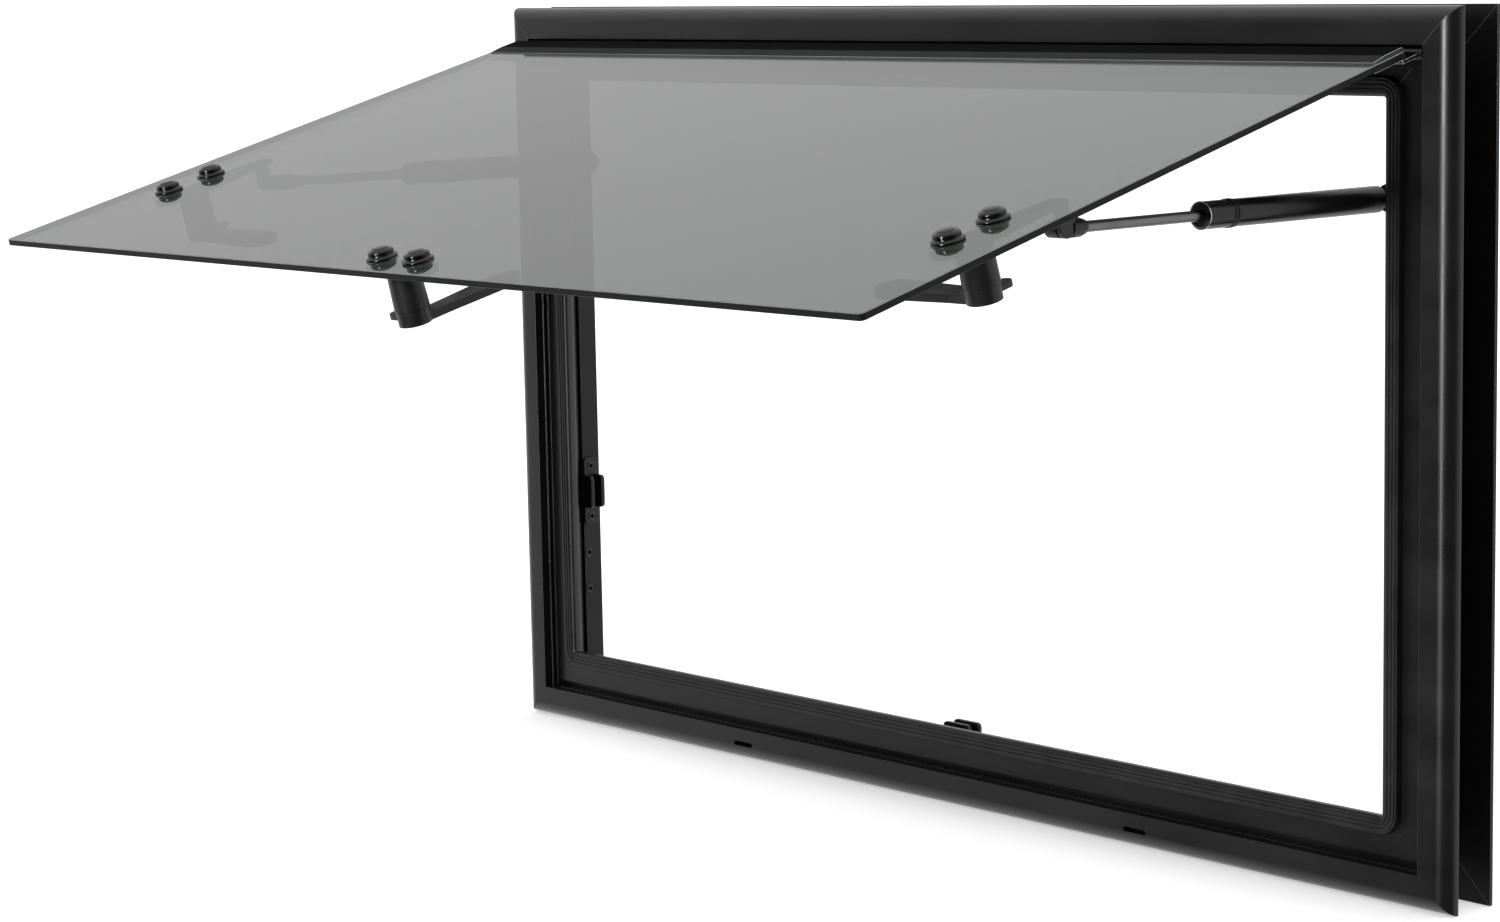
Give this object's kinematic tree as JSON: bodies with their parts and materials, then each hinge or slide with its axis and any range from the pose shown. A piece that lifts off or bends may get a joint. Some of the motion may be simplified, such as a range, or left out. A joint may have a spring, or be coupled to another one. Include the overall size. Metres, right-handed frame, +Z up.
{
  "type": "caravan window",
  "caption": "Top-hung caravan window: a mitred black aluminium frame and clamp ring with a tinted frameless pane held open by gas struts and closed by turning latches.",
  "frame": {"origin": "on the flat back face of the sill's flange, at mid width, 10 mm above the frame's lower edge", "axes": "+X to the right along the frame's width as seen from outside, +Y into the wall, +Z up"},
  "size_m": [0.812, 0.4592, 0.5],
  "materials": {
    "frame_paint": "satin black powder coat on aluminium",
    "ring_paint": "satin black powder coat on aluminium",
    "seal_rubber": "matt rubber",
    "black_plastic": "moulded black plastic",
    "lever_plastic": "moulded black plastic with a fine grain",
    "tinted_glass": "polished, dark grey tint, ground edge",
    "strut_paint": "semi-gloss black paint",
    "rod_steel": "blackened polished steel"
  },
  "bodies": {
    "window": {"head_rail": "frame_paint", "sill_rail": "frame_paint", "left_jamb": "frame_paint", "right_jamb": "frame_paint", "clamp_head": "ring_paint", "clamp_sill": "ring_paint", "clamp_left": "ring_paint", "clamp_right": "ring_paint", "seal_head": "seal_rubber", "seal_sill": "seal_rubber", "seal_left": "seal_rubber", "seal_right": "seal_rubber", "hinge_channel": "frame_paint", "left_hinge_stop": "black_plastic", "right_hinge_stop": "black_plastic", "hinge_leaf": "frame_paint", "glass_pane": "tinted_glass", "left_bolt_caps": "black_plastic", "left_latch_bracket": "black_plastic", "right_bolt_caps": "black_plastic", "right_latch_bracket": "black_plastic", "lower_bolt_caps": "black_plastic", "lower_latch_bracket": "black_plastic", "left_strut_tube": "strut_paint", "left_strut_rod": "rod_steel", "left_rod_end": "black_plastic", "left_strut_foot": "frame_paint", "left_keeper": "black_plastic", "right_strut_tube": "strut_paint", "right_strut_rod": "rod_steel", "right_rod_end": "black_plastic", "right_strut_foot": "frame_paint", "right_keeper": "black_plastic", "sill_keeper": "black_plastic"},
    "left_lever": {"left_latch_lever": "lever_plastic"},
    "right_lever": {"right_latch_lever": "lever_plastic"},
    "lower_lever": {"lower_latch_lever": "lever_plastic"}
  },
  "joints": [
    {"name": "left_latch_turn", "type": "hinge", "parent": "window", "child": "left_lever", "pos_m": [-0.346, -0.3091, 0.35993], "axis": [0, -0.2588, 0.9659], "range_deg": [0, 90]},
    {"name": "right_latch_turn", "type": "hinge", "parent": "window", "child": "right_lever", "pos_m": [0.346, -0.3091, 0.35993], "axis": [0, 0.2588, -0.9659], "range_deg": [0, 90]},
    {"name": "lower_latch_turn", "type": "hinge", "parent": "window", "child": "lower_lever", "pos_m": [0, -0.40183, 0.33508], "axis": [0, -0.2588, 0.9659], "range_deg": [0, 90]}
  ]
}
